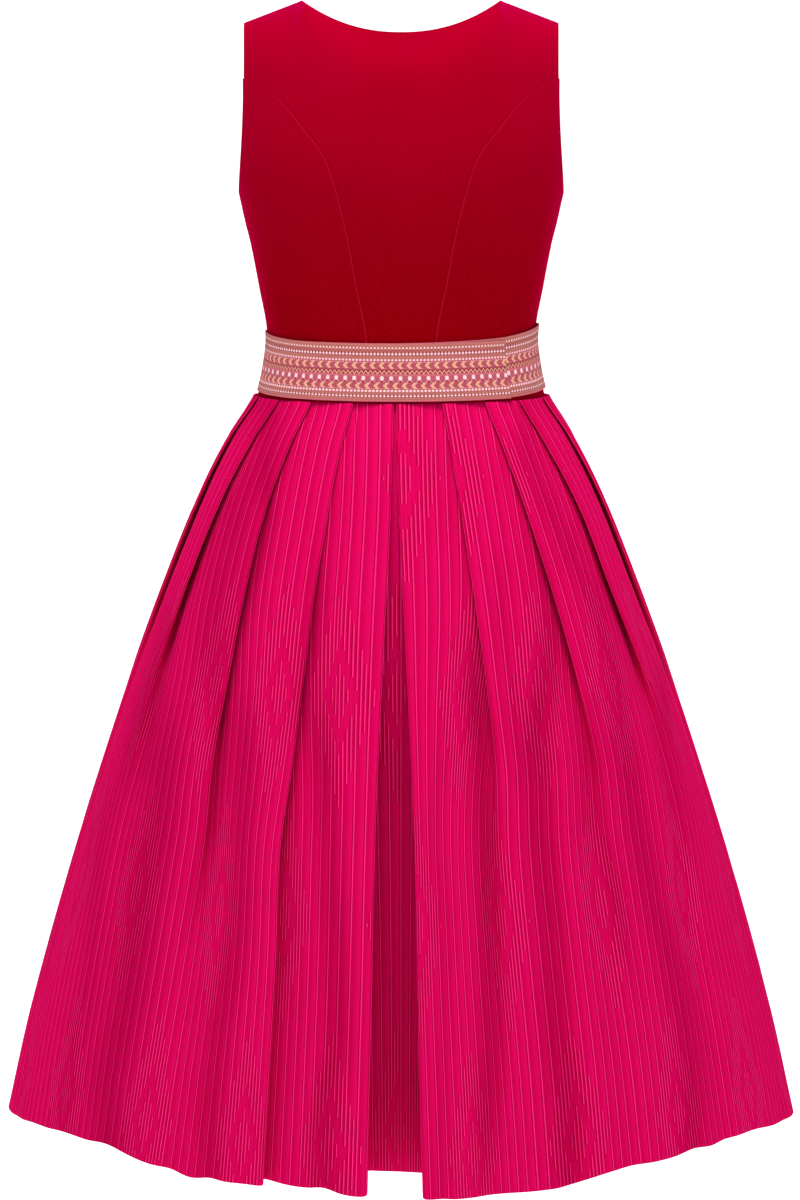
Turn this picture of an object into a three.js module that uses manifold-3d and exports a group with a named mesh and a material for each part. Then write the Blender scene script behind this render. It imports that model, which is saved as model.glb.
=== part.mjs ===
// A sleeveless dirndl dress, worn and seen from the back: a velvet bodice with princess seams, a woven
// border belt whose ends overlap at the back, and a skirt of ribbed cloth laid in knife pleats.
// Millimetres, +Z up, the back faces -Y and the wearer's right is +X. Heights are measured from the hem,
// and the whole group is lowered so that the origin lies midway between the two shoulder seams.
import * as THREE from "three";
import { mergeVertices } from "three/addons/utils/BufferGeometryUtils.js";
import Module from "manifold-3d";

const shoulderHeight = 1139;
const waistSeamHeight = 752;
const seamGap = 0.3;
const velvetThickness = 1.5;
const beltThickness = 1.2;
const clothThickness = 1;
const quarterTurn = Math.PI / 2;

// The bodice's outline at each height: half width, depth behind and in front of the side seams, and
// how round the section is (0.5 is an ellipse, less is squarer, more is pointed at the sides).
const torsoRows = [
  { z: 715, half: 155, back: 116, front: 112, round: 0.48 },
  { z: 748, half: 148, back: 109, front: 106, round: 0.48 },
  { z: 780, half: 140.5, back: 104, front: 102, round: 0.47 },
  { z: 815, half: 137, back: 101, front: 101, round: 0.47 },
  { z: 865, half: 145.5, back: 103, front: 106, round: 0.46 },
  { z: 907, half: 153.5, back: 108, front: 113, round: 0.46 },
  { z: 927, half: 158.5, back: 110.5, front: 115, round: 0.46 },
  { z: 953, half: 164.5, back: 113, front: 115, round: 0.46 },
  { z: 980, half: 171.5, back: 114.5, front: 113, round: 0.46 },
  { z: 1015, half: 174.5, back: 114, front: 108, round: 0.46 },
  { z: 1074, half: 174.5, back: 107, front: 98, round: 0.46 },
  { z: 1115, half: 172.5, back: 98, front: 90, round: 0.46 },
];
const bust = { rise: 13, x: 74, z: 943, wide: 44, high: 46 };

// Heights of the panels' rows, from the waist seam to where each princess seam meets the armhole.
const seamLevels = [waistSeamHeight + seamGap, 767, 787, 811, 840, 873, 911, 937, 953, 975, 1000, 1016, 1019];
const backSeamLevels = [...seamLevels.slice(0, -1), 1035, 1051, 1063, 1069, 1072.5, 1074];
const underarmHeight = 953;

// Where the princess seams run: their distance from the centre line at each height.
const backSeamRows = [
  { z: 748, x: 30 },
  { z: 821, x: 35 },
  { z: 871, x: 45 },
  { z: 911, x: 52 },
  { z: 946, x: 60 },
  { z: 975, x: 68 },
  { z: 1000, x: 78 },
  { z: 1026, x: 98 },
  { z: 1051, x: 119 },
  { z: 1063, x: 135 },
  { z: 1074, x: 158.5 },
];
const frontSeamRows = [
  { z: 748, x: 38 },
  { z: 821, x: 47 },
  { z: 871, x: 62 },
  { z: 911, x: 76 },
  { z: 946, x: 86 },
  { z: 975, x: 98 },
  { z: 1000, x: 119 },
  { z: 1019, x: 149 },
];
// The armhole edge's distance from the centre line, from the underarm up.
const armholeRows = [
  { z: 953, back: 166, front: 166 },
  { z: 975, back: 164, front: 161 },
  { z: 1015, back: 161, front: 150.5 },
  { z: 1051, back: 159.5, front: 147 },
  { z: 1074, back: 159.5, front: 147 },
];

// The shoulder seam from the neck point to the tip, and the two necklines' lowest points.
const neckPoint = { x: 100.5, z: 1150 };
const shoulderTip = { x: 159.5, z: 1128 };
const backNeck = { y: -82, z: 1120, rise: 2.2, shareAcross: 0.63 };
const frontNeck = { y: 101, z: 1027, shareAcross: 0.6 };

// The skirt's outline at each height, on the middle of the outermost layer of cloth.
const skirtRows = [
  { z: 776, half: 139, back: 104, front: 100, round: 0.48 },
  { z: 747.7, half: 154, back: 111.5, front: 108, round: 0.48 },
  { z: 714, half: 176.5, back: 131, front: 126, round: 0.5 },
  { z: 663, half: 202.5, back: 155, front: 150, round: 0.52 },
  { z: 582, half: 235.5, back: 187, front: 181, round: 0.56 },
  { z: 449, half: 284, back: 230, front: 223, round: 0.6 },
  { z: 276, half: 340, back: 275, front: 268, round: 0.65 },
  { z: 112, half: 386.5, back: 309, front: 302, round: 0.69 },
  { z: 0, half: 412.5, back: 328, front: 321, round: 0.72 },
];
// How much higher the hem hangs between the sides and the centres than it does at them.
const hemRise = 4;
const skirtLevels = [waistSeamHeight - seamGap, 704, 633, 510, 347, 174, 0];

// The cloth in each knife pleat, in half the centre pleat's underlay and in half the plain front panel,
// and the spacing of stacked layers.
const pleatCloth = 150;
const underlayCloth = 100;
const frontPanelCloth = 62.5;
const layerPitch = 2.4;
const pleatsEachSide = 8;
const sideSeamPleat = 4;
// The ribs woven into the cloth: their spacing, and how far their crests stand out.
const ribPitch = 12.5;
const ribHeight = 0.5;
const ribsPerPanel = 11;
// The first three fold edges of each side, as shares of the way round from centre back to centre front.
// The others are spaced evenly from the third one to the front panel.
const foldRows = {
  right: [
    { z: 747.7, first: 0.103, second: 0.215, third: 0.318 },
    { z: 582, first: 0.108, second: 0.234, third: 0.345 },
    { z: 449, first: 0.111, second: 0.24, third: 0.352 },
    { z: 276, first: 0.118, second: 0.243, third: 0.358 },
    { z: 0, first: 0.132, second: 0.25, third: 0.364 },
  ],
  left: [
    { z: 747.7, first: 0.117, second: 0.227, third: 0.328 },
    { z: 582, first: 0.12, second: 0.237, third: 0.346 },
    { z: 449, first: 0.123, second: 0.236, third: 0.35 },
    { z: 276, first: 0.125, second: 0.239, third: 0.355 },
    { z: 0, first: 0.134, second: 0.246, third: 0.361 },
  ],
};
// How the pleats open downwards: half the mouth of the centre pleat, how deep its underlay lies at
// the centre line and at its inner folds, and how far the other pleats' inner folds lie below the edges.
const openingRows = [
  { z: 747.7, mouth: 2, recess: 4, innerFold: 8.6, lift: 7.5 },
  { z: 704, mouth: 2.7, recess: 4.8, innerFold: 8.8, lift: 7.2 },
  { z: 633, mouth: 5, recess: 9, innerFold: 10.5, lift: 8.5 },
  { z: 510, mouth: 10, recess: 22, innerFold: 20, lift: 13 },
  { z: 347, mouth: 16, recess: 44, innerFold: 40, lift: 17 },
  { z: 174, mouth: 20, recess: 63, innerFold: 58, lift: 19 },
  { z: 0, mouth: 25, recess: 74, innerFold: 69, lift: 17 },
];

// The belt: its width, how far its two ends reach past the centre back, and how its middle rises and dips
// on the way round (angle 0 is the centre back, 90 the right side, 360 the overlap at the centre back).
const beltWidth = 58.5;
const beltEnds = { under: -89, over: 104 };
const beltRows = [
  { turn: -45, middle: 783, out: 1 },
  { turn: 0, middle: 782.8, out: 1 },
  { turn: 45, middle: 785, out: 1 },
  { turn: 65, middle: 788.5, out: 1 },
  { turn: 90, middle: 792.5, out: 1 },
  { turn: 135, middle: 791, out: 1 },
  { turn: 180, middle: 788, out: 1 },
  { turn: 225, middle: 788, out: 1 },
  { turn: 270, middle: 788, out: 1.6 },
  { turn: 295, middle: 785, out: 2.4 },
  { turn: 315, middle: 783.3, out: 3 },
  { turn: 360, middle: 782.5, out: 3 },
  { turn: 405, middle: 783.5, out: 3 },
];
const beltColumns = 72;

// The hooks and eyes behind the centre front edges.
const hookTape = { width: 12, thickness: 1, bottom: 757, top: 999, behind: 0.5 };
const hook = { count: 8, first: 773, pitch: 31, high: 4, reach: 5, root: 4, thickness: 0.9 };
const eye = { high: 5, inset: 3, width: 1.6, rise: 0.9 };

const colours = {
  velvet: { color: 0xa30520, roughness: 0.9, metalness: 0 },
  skirt: { color: 0xd4005c, roughness: 0.6, metalness: 0 },
  belt: { color: 0xcf8078, roughness: 0.8, metalness: 0 },
  notion: { color: 0x7d1428, roughness: 0.5, metalness: 0.2 },
};

// Reads a table's column at a height or turn, smoothly between its rows.
function read(rows, column, at, key = "z") {
  const sorted = rows[0][key] < rows[rows.length - 1][key] ? rows : [...rows].reverse();
  const last = sorted.length - 1;
  if (at <= sorted[0][key]) return sorted[0][column];
  if (at >= sorted[last][key]) return sorted[last][column];
  const i = sorted.findIndex((row, n) => n < last && at <= sorted[n + 1][key]);
  const slope = (n) => {
    const low = sorted[Math.max(n - 1, 0)];
    const high = sorted[Math.min(n + 1, last)];
    return (high[column] - low[column]) / (high[key] - low[key]);
  };
  const step = sorted[i + 1][key] - sorted[i][key];
  const t = (at - sorted[i][key]) / step;
  const rise = (3 - 2 * t) * t * t;
  const start = sorted[i][column] * (1 - rise) + sorted[i + 1][column] * rise;
  return start + step * (slope(i) * t * (1 - t) ** 2 - slope(i + 1) * t * t * (1 - t));
}

// A point of a section: angle 0 is the centre back, a quarter turn the right side, a half turn the front.
function onSection(rows, angle, z) {
  const across = Math.sin(angle);
  const along = Math.cos(angle);
  const depth = read(rows, along >= 0 ? "back" : "front", z);
  const y = -Math.sign(along) * depth * Math.abs(along) ** (2 * read(rows, "round", z));
  return new THREE.Vector3(read(rows, "half", z) * across, y, z);
}

// The bodice's outer surface, with the fullness that its front seams give over the bust.
function onTorso(angle, z) {
  const p = onSection(torsoRows, angle, z);
  if (p.y > 0) {
    const aside = ((Math.abs(p.x) - bust.x) / bust.wide) ** 2;
    const above = ((z - bust.z) / bust.high) ** 2;
    p.y += bust.rise * Math.exp(-aside - above) * Math.abs(Math.cos(angle));
  }
  return p;
}

// The angle at which the bodice's section is this far from the centre line.
function angleAt(x, z) {
  return Math.asin(Math.min(x / read(torsoRows, "half", z), 1));
}

// The outward normal of a surface point, from small steps along its two parameters.
function normalOf(surface, u, v, lastRow) {
  const step = 1e-3;
  const du = surface(Math.min(u + step, 1), v).sub(surface(Math.max(u - step, 0), v));
  const dv = surface(u, Math.min(v + step, lastRow)).sub(surface(u, Math.max(v - step, 0)));
  return du.cross(dv).normalize();
}

function nudge(point, towards, distance) {
  return point.clone().addScaledVector(towards.clone().sub(point).normalize(), distance);
}

// A closed wall between two grids of points: outer rows may hold more columns than inner rows, and
// match says which outer column each inner column stands behind.
function closedWall(outer, inner, match) {
  const points = [];
  const faces = [];
  const place = (grid) => grid.map((row) => row.map((p) => points.push(p.x, p.y, p.z) / 3 - 1));
  const o = place(outer);
  const n = place(inner);
  const top = outer.length - 1;
  const grid = (g, turned) => {
    for (let r = 0; r < top; r++) {
      for (let c = 0; c + 1 < g[r].length; c++) {
        const [a, b, d, e] = [g[r][c], g[r][c + 1], g[r + 1][c + 1], g[r + 1][c]];
        if (turned) faces.push(a, d, b, a, e, d);
        else faces.push(a, b, d, a, d, e);
      }
    }
  };
  const rim = (r, turned) => {
    for (let i = 0; i + 1 < match.length; i++) {
      const far = match[i + 1];
      for (let c = match[i]; c < far; c++) {
        if (turned) faces.push(o[r][c], o[r][c + 1], n[r][i]);
        else faces.push(o[r][c + 1], o[r][c], n[r][i]);
      }
      if (turned) faces.push(o[r][far], n[r][i + 1], n[r][i]);
      else faces.push(o[r][far], n[r][i], n[r][i + 1]);
    }
  };
  const side = (c, i, turned) => {
    for (let r = 0; r < top; r++) {
      const [a, b, d, e] = [o[r][c], o[r + 1][c], n[r + 1][i], n[r][i]];
      if (turned) faces.push(a, d, b, a, e, d);
      else faces.push(a, b, d, a, d, e);
    }
  };
  grid(o, false);
  grid(n, true);
  rim(0, false);
  rim(top, true);
  side(0, 0, false);
  side(match[match.length - 1], match.length - 1, true);
  const geometry = new THREE.BufferGeometry();
  geometry.setAttribute("position", new THREE.Float32BufferAttribute(points, 3));
  geometry.setIndex(faces);
  return geometry;
}

// A panel of even thickness from a surface of (u across, row upwards), parted from its neighbours.
function panelWall(surface, rows, columns, thickness, partTop = true) {
  const outer = [];
  const normals = [];
  for (let r = 0; r < rows; r++) {
    const across = Array.from({ length: columns + 1 }, (_, c) => c / columns);
    outer.push(across.map((u) => surface(u, r)));
    normals.push(across.map((u) => normalOf(surface, u, r, rows - 1)));
  }
  const half = seamGap / 2;
  for (const row of outer) {
    row[0] = nudge(row[0], row[1], half);
    row[columns] = nudge(row[columns], row[columns - 1], half);
  }
  if (partTop) {
    const below = outer[rows - 2];
    outer[rows - 1] = outer[rows - 1].map((p, c) => nudge(p, below[c], half));
  }
  const inner = outer.map((row, r) => row.map((p, c) => p.clone().addScaledVector(normals[r][c], -thickness)));
  const match = outer[0].map((_, c) => c);
  return closedWall(outer, inner, match);
}

function mesh(name, geometry, look) {
  const made = new THREE.Mesh(geometry, new THREE.MeshStandardMaterial(look));
  made.name = name;
  return made;
}

// A geometry turned over to the wearer's left, with its faces still pointing out.
function mirrored(geometry) {
  const turned = geometry.clone().scale(-1, 1, 1);
  const index = Array.from(turned.index.array);
  for (let i = 0; i < index.length; i += 3) [index[i + 1], index[i + 2]] = [index[i + 2], index[i + 1]];
  turned.setIndex(index);
  return turned;
}

const loftShares = [0.14, 0.3, 0.48, 0.66, 0.84, 1];

// The height of a row that lies between the listed levels.
function levelAt(levels, row) {
  const i = Math.min(Math.floor(row), levels.length - 2);
  return levels[i] + (levels[i + 1] - levels[i]) * (row - i);
}

// The point where a column of the upper back or chest ends: on the neckline, then on the shoulder seam.
function topEdge(share, neck, isBack) {
  const side = Math.sign(share) || 1;
  const along = Math.abs(share);
  if (along > neck.shareAcross) {
    const t = (along - neck.shareAcross) / (1 - neck.shareAcross);
    const x = neckPoint.x + (shoulderTip.x - neckPoint.x) * t;
    return new THREE.Vector3(side * x, 0, neckPoint.z + (shoulderTip.z - neckPoint.z) * t);
  }
  const turn = (along / neck.shareAcross) * quarterTurn;
  const rise = neckPoint.z - neck.z;
  if (isBack) {
    const x = neckPoint.x * Math.sin(turn);
    const z = neck.z + rise * (x / neckPoint.x) ** neck.rise;
    return new THREE.Vector3(side * x, neck.y * Math.cos(turn) ** 0.75, z);
  }
  const climb = 1 - Math.cos(turn) ** 0.85;
  const x = neckPoint.x * Math.sin(turn) ** 0.75;
  return new THREE.Vector3(side * x, neck.y * (1 - climb) ** 0.6, neck.z + rise * climb);
}

// The upper back or chest: a smooth curve from the last level up and over to the neckline or shoulder.
function overShoulder(share, t, start, neck, isBack) {
  const forward = isBack ? 1 : -1;
  const end = topEdge(share, neck, isBack);
  const lift = start.clone().sub(onTorso(start.angle, start.z - 4));
  lift.normalize();
  const reach = start.distanceTo(end);
  const past = THREE.MathUtils.smoothstep(Math.abs(share), 0, neck.shareAcross);
  const flat = new THREE.Vector3(0, forward * (0.35 + 0.65 * past), 0.94 * (1 - past)).normalize();
  const second = start.clone().addScaledVector(lift, reach * 0.38);
  const third = end.clone().addScaledVector(flat, -reach * 0.36);
  return new THREE.CubicBezierCurve3(start, second, third, end).getPoint(t);
}

// A centre panel, from share -1 or 0 at its first edge to 1 at the seam or armhole.
function centreSurface(levels, seamRows, neck, isBack, firstShare) {
  const lastLevel = levels.length - 1;
  const atLevel = (share, z) => {
    const angle = share * angleAt(read(seamRows, "x", z), z);
    const turned = isBack ? angle : Math.PI - angle;
    const p = onTorso(turned, z);
    p.angle = turned;
    return p;
  };
  return (u, row) => {
    const share = firstShare + (1 - firstShare) * u;
    if (row <= lastLevel) return atLevel(share, levelAt(levels, row));
    const steps = [0, ...loftShares];
    const t = levelAt(steps, row - lastLevel);
    return overShoulder(share, t, atLevel(share, levels[lastLevel]), neck, isBack);
  };
}

// A side panel, from the princess seam to the side seam, and above the underarm to the armhole.
function sideSurface(levels, seamRows, isBack) {
  return (u, row) => {
    const z = levelAt(levels, row);
    const from = angleAt(read(seamRows, "x", z), z);
    const edge = read(armholeRows, isBack ? "back" : "front", z);
    const to = z > underarmHeight ? angleAt(edge, z) : quarterTurn;
    const angle = from + (to - from) * u;
    return onTorso(isBack ? angle : Math.PI - angle, z);
  };
}

function reversedAcross(surface) {
  return (u, row) => surface(1 - u, row);
}

// A side panel ends one row lower, where its two edges are still a few millimetres apart.
const backSideLevels = backSeamLevels.slice(0, -1);
const frontSideLevels = seamLevels.slice(0, -1);

function bodice() {
  const group = new THREE.Group();
  const centreRows = backSeamLevels.length + loftShares.length;
  const frontRows = seamLevels.length + loftShares.length;
  const back = centreSurface(backSeamLevels, backSeamRows, backNeck, true, -1);
  group.add(mesh("back_centre", panelWall(back, centreRows, 16, velvetThickness), colours.velvet));
  const frontHalf = reversedAcross(centreSurface(seamLevels, frontSeamRows, frontNeck, false, 0));
  const front = panelWall(frontHalf, frontRows, 9, velvetThickness);
  const backSide = panelWall(
    sideSurface(backSideLevels, backSeamRows, true),
    backSideLevels.length,
    8,
    velvetThickness,
    false,
  );
  const frontSide = panelWall(
    reversedAcross(sideSurface(frontSideLevels, frontSeamRows, false)),
    frontSideLevels.length,
    8,
    velvetThickness,
    false,
  );
  const pairs = { front_centre: front, back_side: backSide, front_side: frontSide };
  for (const [name, geometry] of Object.entries(pairs)) {
    group.add(mesh(name + "_right", geometry, colours.velvet));
    group.add(mesh(name + "_left", mirrored(geometry), colours.velvet));
  }
  return group;
}

// Half of the skirt's outline at one height, measured along its length from the centre back.
function halfOutline(z) {
  const steps = 480;
  const points = [];
  const lengths = [0];
  for (let i = 0; i <= steps; i++) {
    points.push(onSection(skirtRows, (i / steps) * Math.PI, z));
    if (i) lengths.push(lengths[i - 1] + points[i].distanceTo(points[i - 1]));
  }
  const length = lengths[steps];
  const at = (distance) => {
    const s = distance > length ? 2 * length - distance : Math.abs(distance);
    const i = Math.min(Math.max(lengths.findIndex((l) => l >= s) - 1, 0), steps - 1);
    const p = points[i].clone().lerp(points[i + 1], (s - lengths[i]) / (lengths[i + 1] - lengths[i]));
    return s === distance ? p : p.multiply(new THREE.Vector3(-1, 1, 1));
  };
  // A point this far along and this far out, with the outline's normal taken over a short stretch.
  const place = (s, out) => {
    const reach = 3;
    const along = at(s + reach).sub(at(s - reach)).normalize();
    return at(s).addScaledVector(new THREE.Vector3(along.y, -along.x, 0), out);
  };
  return { length, place };
}

// Where a pleat's inner fold lies past its second edge, so that the run to it and the return from it
// use up the pleat's cloth: it lies on the ellipse that has the two fold edges as its foci.
function innerFoldPast(pitch, depth) {
  const spare = pleatCloth ** 2 - pitch ** 2;
  const low = Math.min(depth, 0.48 * Math.sqrt(spare));
  const along = (pleatCloth / 2) * Math.sqrt(1 - (4 * low * low) / spare);
  return { past: along - pitch / 2, depth: low };
}

// The folded line of cloth in one half at one height: its inner folds and fold edges in turn, as
// distances along the outline and outwards from it.
function foldLine(rows, outline, z) {
  const opening = (column) => read(openingRows, column, z);
  const edges = [opening("mouth")];
  for (const name of ["first", "second", "third"]) edges.push(read(rows, name, z) * outline.length);
  const last = outline.length - frontPanelCloth;
  const step = (last - edges[3]) / (pleatsEachSide - 3);
  for (let k = 4; k <= pleatsEachSide; k++) edges.push(edges[3] + step * (k - 3));
  const drop = opening("innerFold");
  const rise = drop - opening("recess");
  const total = underlayCloth - (Math.hypot(drop, 30) - 30) * 0.9 - (Math.hypot(rise, 50) - 50);
  const corners = [
    { s: 0, out: -opening("recess") },
    { s: (total + edges[0]) / 2, out: -drop },
    { s: edges[0], out: 0 },
  ];
  for (let k = 1; k < edges.length; k++) {
    const fold = innerFoldPast(edges[k] - edges[k - 1], opening("lift"));
    corners.push({ s: edges[k] + fold.past, out: -fold.depth });
    corners.push({ s: edges[k], out: 0 });
  }
  corners.push({ s: outline.length, out: 0 });
  return corners.map((c) => new THREE.Vector2(c.s, c.out));
}

// The columns of a pleat's face, from its fold edge: a crest and a hollow for each rib. They are squeezed
// together where the next pleat covers them, and the ribs there are pressed flat.
function ribColumns(length, shown) {
  const count = ribsPerPanel * 2;
  const columns = [];
  for (let i = 1; i <= count; i++) {
    const wanted = (i * ribPitch) / 2;
    const at = Math.min(wanted, length - (count + 1 - i) * 0.8);
    const stands = THREE.MathUtils.clamp((shown - wanted) / 4, 0, 1);
    columns.push({ at, rib: i % 2 === 1 ? ribHeight * stands : 0, inner: i % 4 === 0 });
  }
  return columns;
}

// All columns of one half at one height, from centre back to centre front, with their folds numbered.
// Each fold is two points a layer apart, so that stacked layers keep their spacing.
function halfColumns(rows, z) {
  const outline = halfOutline(z);
  const stops = foldLine(rows, outline, z);
  const foldPair = (before, corner, after) => {
    const back = before.clone().sub(corner).normalize();
    const across = after.clone().sub(corner).normalize().sub(back);
    const half = across.normalize().multiplyScalar(layerPitch / 2);
    return [corner.clone().sub(half), corner.clone().add(half)];
  };
  const columns = [{ p: stops[0], rib: 0, inner: true }];
  const lastStop = stops.length - 1;
  let from = stops[0];
  for (let i = 1; i <= lastStop; i++) {
    const pair = i < lastStop ? foldPair(stops[i - 1], stops[i], stops[i + 1]) : [stops[i]];
    const run = pair[0].clone().sub(from);
    const length = run.length();
    const facesOut = i > 2 && i % 2 === 1;
    const shown = facesOut && i < lastStop ? stops[i + 1].x - stops[i - 1].x : length;
    const plain = [{ at: length / 2, rib: 0, inner: true }];
    for (const c of facesOut ? ribColumns(length, shown) : plain) {
      const p = from.clone().addScaledVector(run, c.at / length);
      columns.push({ p, rib: c.rib, inner: c.inner });
    }
    for (const p of pair) columns.push({ p, rib: 0, inner: true, fold: i });
    from = pair[pair.length - 1];
  }
  return columns.map((c) => ({ ...c, p: outline.place(c.p.x, c.p.y) }));
}

// One row of the back or front skirt, going round towards the wearer's right at the back, as the outer
// and the inner face of the cloth. The side seams are hidden in an inner fold.
function skirtRow(isBack, z) {
  const seam = 2 * sideSeamPleat + 1;
  const halves = ["left", "right"].map((side) => {
    const columns = halfColumns(foldRows[side], z);
    const at = columns.findIndex((c) => c.fold === seam);
    const across = columns[at + 1].p.clone().sub(columns[at].p);
    const half = across.length() / 2 - seamGap / 2;
    const turn = across.normalize().multiplyScalar(half);
    const end = { p: columns[at].p.clone().add(turn), rib: 0, inner: true };
    const start = { p: columns[at + 1].p.clone().sub(turn), rib: 0, inner: true };
    return isBack ? [...columns.slice(0, at + 1), end] : [start, ...columns.slice(at + 1)];
  });
  const flip = new THREE.Vector3(-1, 1, 1);
  const left = halves[0].map((c) => ({ ...c, p: c.p.clone().multiply(flip) })).reverse();
  const right = halves[1];
  const ring = isBack ? [...left.slice(0, -1), ...right] : [...right.slice(0, -1), ...left];
  const last = ring.length - 1;
  const sideways = ring.slice(1).map((c, i) => {
    const along = c.p.clone().sub(ring[i].p).normalize();
    return new THREE.Vector3(along.y, -along.x, 0);
  });
  const share = (waistSeamHeight - z) / waistSeamHeight;
  const faces = ring.map((c, i) => {
    const a = sideways[Math.max(i - 1, 0)];
    const normal = a.clone().add(sideways[Math.min(i, last - 1)]).normalize();
    const mitre = Math.min(1 / Math.max(normal.dot(a), 0.5), 1.5);
    const hung = c.p.clone();
    hung.z += hemRise * share * Math.sin(2 * Math.atan2(c.p.x, c.p.y)) ** 2;
    const away = (distance) => hung.clone().addScaledVector(normal, distance * mitre);
    return { outer: away(clothThickness / 2 + c.rib), inner: away(-clothThickness / 2) };
  });
  const match = ring.map((c, i) => (c.inner ? i : -1)).filter((i) => i >= 0);
  return { outer: faces.map((f) => f.outer), inner: match.map((i) => faces[i].inner), match };
}

function skirt(isBack) {
  const upwards = [...skirtLevels].reverse();
  const rows = upwards.map((z) => skirtRow(isBack, z));
  const outer = rows.map((r) => r.outer);
  const inner = rows.map((r) => r.inner);
  const name = isBack ? "skirt_back" : "skirt_front";
  return mesh(name, closedWall(outer, inner, rows[0].match), colours.skirt);
}

// The belt: one strip from its under end, once round the waist, to its over end at the back.
function belt() {
  const beltRowsUp = 3;
  const turnAt = (x) => THREE.MathUtils.radToDeg(angleAt(Math.abs(x), waistSeamHeight + 32)) * Math.sign(x);
  const first = turnAt(beltEnds.under);
  const last = 360 + turnAt(beltEnds.over);
  const surface = (u, row) => {
    const turn = first + (last - first) * u;
    const middle = read(beltRows, "middle", turn, "turn");
    const out = read(beltRows, "out", turn, "turn");
    const z = middle + beltWidth * (row / (beltRowsUp - 1) - 0.5);
    const angle = THREE.MathUtils.degToRad(turn);
    const p = onSection(torsoRows, angle, z);
    const near = onSection(torsoRows, angle + 0.02, z).sub(onSection(torsoRows, angle - 0.02, z));
    const normal = new THREE.Vector3(near.y, -near.x, 0).normalize();
    return p.addScaledVector(normal, out + beltThickness);
  };
  return mesh("belt", panelWall(surface, beltRowsUp, beltColumns, beltThickness, false), colours.belt);
}

// A point just inside the front panel near the centre front, on the panel's own straight rows.
function insideFront(z, x) {
  const above = Math.max(seamLevels.findIndex((level) => level >= z), 1);
  const [low, high] = [seamLevels[above - 1], seamLevels[above]].map((level) => {
    const p = onTorso(Math.PI - angleAt(Math.abs(x), level), level);
    return new THREE.Vector3(x, p.y - velvetThickness - hookTape.behind, level);
  });
  return low.lerp(high, (z - low.z) / (high.z - low.z));
}

function tapeWall(side) {
  const between = seamLevels.filter((z) => z > hookTape.bottom && z < hookTape.top);
  const levels = [hookTape.bottom, ...between, hookTape.top];
  const surface = (u, row) => {
    const x = side > 0 ? hookTape.width * (1 - u) : -hookTape.width * u;
    return insideFront(levelAt(levels, row), x + (side * seamGap) / 2);
  };
  return panelWall(surface, levels.length, 3, hookTape.thickness, false);
}

// Joins small bars to a tape, as one solid.
function fuse(wasm, base, bars) {
  const solid = (geometry) => {
    const plain = new THREE.BufferGeometry();
    plain.setAttribute("position", geometry.getAttribute("position"));
    if (geometry.index) plain.setIndex(geometry.index);
    const merged = mergeVertices(plain, 1e-4);
    return new wasm.Manifold(
      new wasm.Mesh({
        numProp: 3,
        vertProperties: merged.attributes.position.array,
        triVerts: new Uint32Array(merged.index.array),
      }),
    );
  };
  const joined = bars.reduce((whole, bar) => whole.add(solid(bar)), solid(base)).getMesh();
  const geometry = new THREE.BufferGeometry();
  geometry.setAttribute("position", new THREE.BufferAttribute(joined.vertProperties, 3));
  geometry.setIndex(new THREE.BufferAttribute(joined.triVerts, 1));
  return geometry;
}

function block(x0, x1, y0, y1, z, high) {
  const box = new THREE.BoxGeometry(x1 - x0, y1 - y0, high);
  return box.translate((x0 + x1) / 2, (y0 + y1) / 2, z);
}

// The hooks reach from the right front's tape across to the bars on the left front's tape.
function fastenings(wasm) {
  const hooks = [];
  const eyes = [];
  const sunk = 0.3;
  for (let i = 0; i < hook.count; i++) {
    const z = hook.first + hook.pitch * i;
    const back = insideFront(z, 0).y - hookTape.thickness;
    const barLow = back - eye.rise;
    const hookTop = barLow - seamGap;
    const hookLow = hookTop - hook.thickness;
    eyes.push(block(-eye.inset - eye.width, -eye.inset, barLow, back + sunk, z, eye.high));
    hooks.push(block(hook.root - 2, hook.root + 2, hookLow, back + sunk, z, hook.high));
    hooks.push(block(-hook.reach, hook.root, hookLow, hookTop, z, hook.high));
  }
  const group = new THREE.Group();
  group.add(mesh("hook_tape", fuse(wasm, tapeWall(1), hooks), colours.notion));
  group.add(mesh("eye_tape", fuse(wasm, tapeWall(-1), eyes), colours.notion));
  return group;
}

const wasm = await Module();
wasm.setup();

const dress = new THREE.Group();
dress.add(bodice(), belt(), skirt(true), skirt(false), fastenings(wasm));
dress.position.z = -shoulderHeight;

export default dress;
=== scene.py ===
import math
import bpy
import numpy as np
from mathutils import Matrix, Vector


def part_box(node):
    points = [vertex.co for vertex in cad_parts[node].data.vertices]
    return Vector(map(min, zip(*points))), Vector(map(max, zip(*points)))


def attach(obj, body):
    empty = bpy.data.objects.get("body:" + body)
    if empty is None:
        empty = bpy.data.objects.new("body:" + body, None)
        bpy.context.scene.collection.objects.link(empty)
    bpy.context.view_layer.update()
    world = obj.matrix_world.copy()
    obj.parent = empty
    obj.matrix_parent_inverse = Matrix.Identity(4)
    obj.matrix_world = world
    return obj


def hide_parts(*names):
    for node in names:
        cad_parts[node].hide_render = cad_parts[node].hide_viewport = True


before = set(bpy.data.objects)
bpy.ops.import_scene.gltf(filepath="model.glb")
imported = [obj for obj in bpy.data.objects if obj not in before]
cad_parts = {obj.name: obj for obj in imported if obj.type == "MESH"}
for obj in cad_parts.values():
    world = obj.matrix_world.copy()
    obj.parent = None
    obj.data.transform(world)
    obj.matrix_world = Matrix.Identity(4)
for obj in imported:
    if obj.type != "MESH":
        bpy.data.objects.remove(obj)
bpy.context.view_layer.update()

# A sleeveless dirndl seen from the back: velvet bodice, woven belt, corded and pleated skirt.
# Everything is worked out in millimetres above the hem, then lowered onto the frame's own hem.
hemHeight = 1000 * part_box("skirt_front")[0][2]
print("frame loaded, hem at", round(hemHeight, 1), "mm")


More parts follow.
